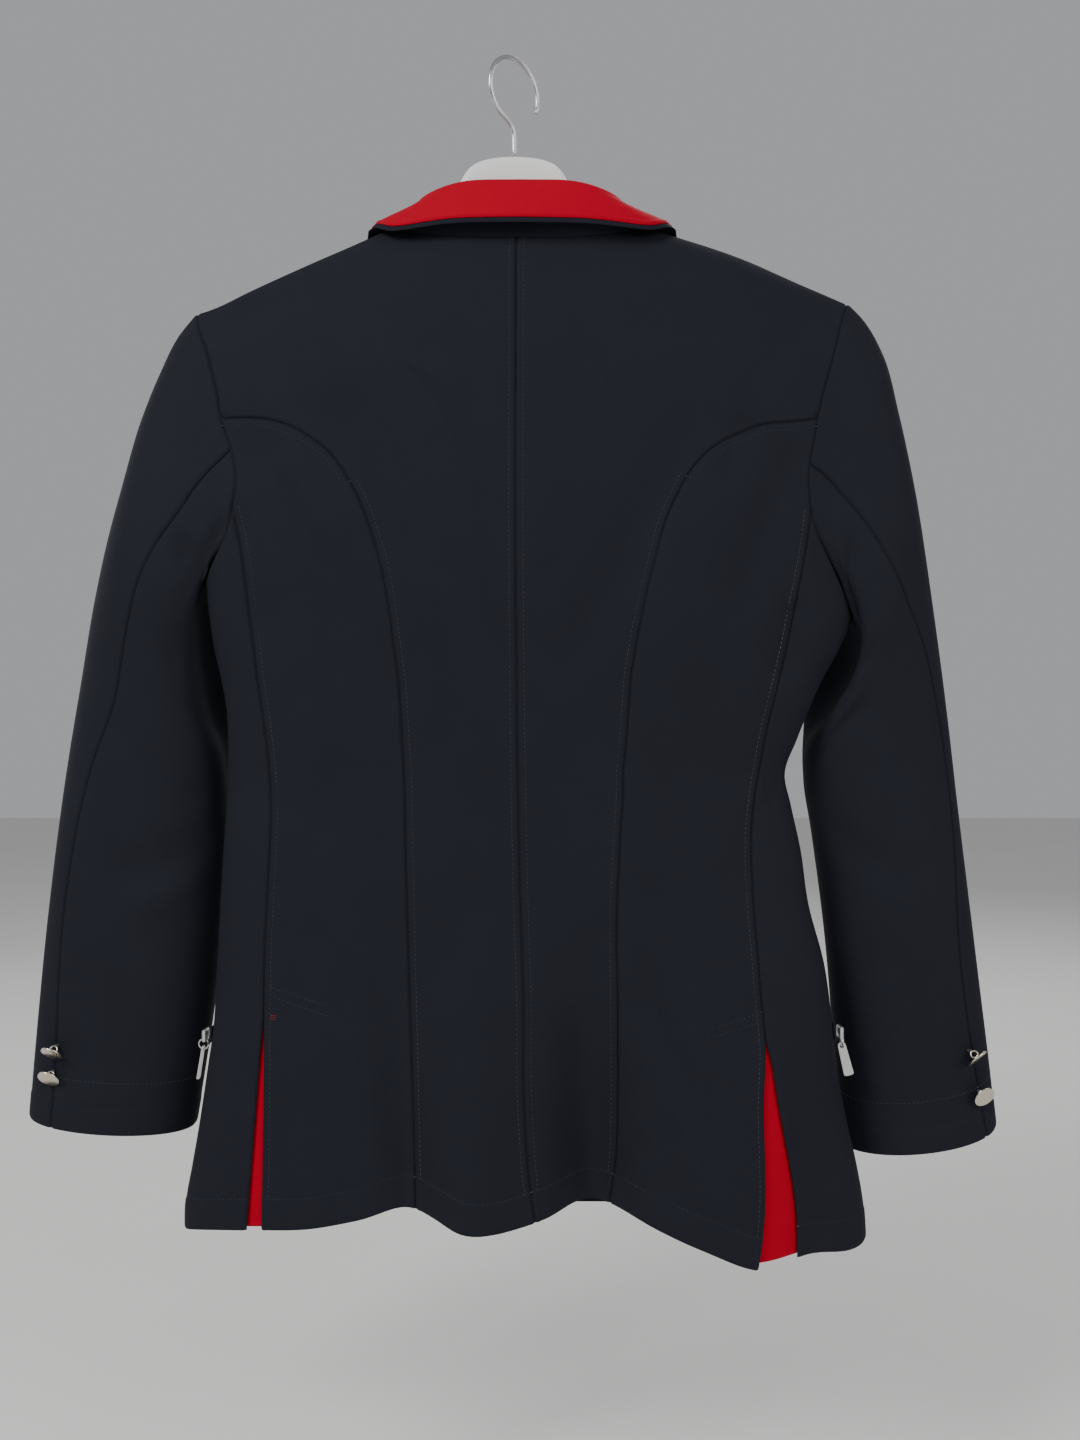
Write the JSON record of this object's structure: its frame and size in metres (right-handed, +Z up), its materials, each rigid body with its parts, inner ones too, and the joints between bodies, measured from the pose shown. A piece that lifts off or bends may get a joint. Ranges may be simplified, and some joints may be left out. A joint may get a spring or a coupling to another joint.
{
  "type": "equestrian show jacket on a hanger",
  "caption": "Tailored riding jacket with a contrast collar, princess seams, side vents and buttoned cuffs, hanging on a plastic hanger from its steel hook.",
  "frame": {"origin": "the highest point inside the hook, where the hook rests on a rail", "axes": "+Z up, -Y out of the jacket's front, +X towards the wearer's left"},
  "size_m": [0.6704, 0.1275, 0.7873],
  "materials": {
    "navy_softshell": "fine woven softshell, slight sheen",
    "red_softshell": "fine woven softshell",
    "silver_metal": "polished zip metal",
    "button_metal": "pale polished metal, bare",
    "zip_tape": "coil zip on woven tape",
    "hanger_plastic": "white, smooth",
    "hook_steel": "bright wire"
  },
  "bodies": {
    "jacket": {"back_left": "navy_softshell", "side_back_left": "navy_softshell", "front_left": "navy_softshell", "lapel_left": "navy_softshell", "upper_sleeve_left": "navy_softshell", "under_sleeve_left": "navy_softshell", "vent_inset_left": "red_softshell", "zip_band_left": "zip_tape", "zip_slider_left": "silver_metal", "cuff_button_left_1": "button_metal", "cuff_button_left_2": "button_metal", "back_right": "navy_softshell", "side_back_right": "navy_softshell", "front_right": "navy_softshell", "lapel_right": "navy_softshell", "upper_sleeve_right": "navy_softshell", "under_sleeve_right": "navy_softshell", "vent_inset_right": "red_softshell", "zip_band_right": "zip_tape", "zip_slider_right": "silver_metal", "cuff_button_right_1": "button_metal", "cuff_button_right_2": "button_metal", "front_button_1": "button_metal", "front_button_2": "button_metal", "front_button_3": "button_metal", "front_button_4": "button_metal", "top_collar": "red_softshell", "under_collar": "navy_softshell", "hanger": "hanger_plastic", "hook": "hook_steel"},
    "left_pull": {"zip_tab_left": "silver_metal"},
    "right_pull": {"zip_tab_right": "silver_metal"}
  },
  "joints": [
    {"name": "left_pull_swing", "type": "hinge", "parent": "jacket", "child": "left_pull", "pos_m": [0.20711, 0, -0.65775], "axis": [0.9877, 0, 0.1564], "range_deg": [-50, 50]},
    {"name": "right_pull_swing", "type": "hinge", "parent": "jacket", "child": "right_pull", "pos_m": [-0.21834, 0, -0.65579], "axis": [0, 1, 0], "range_deg": [0, 60]}
  ]
}
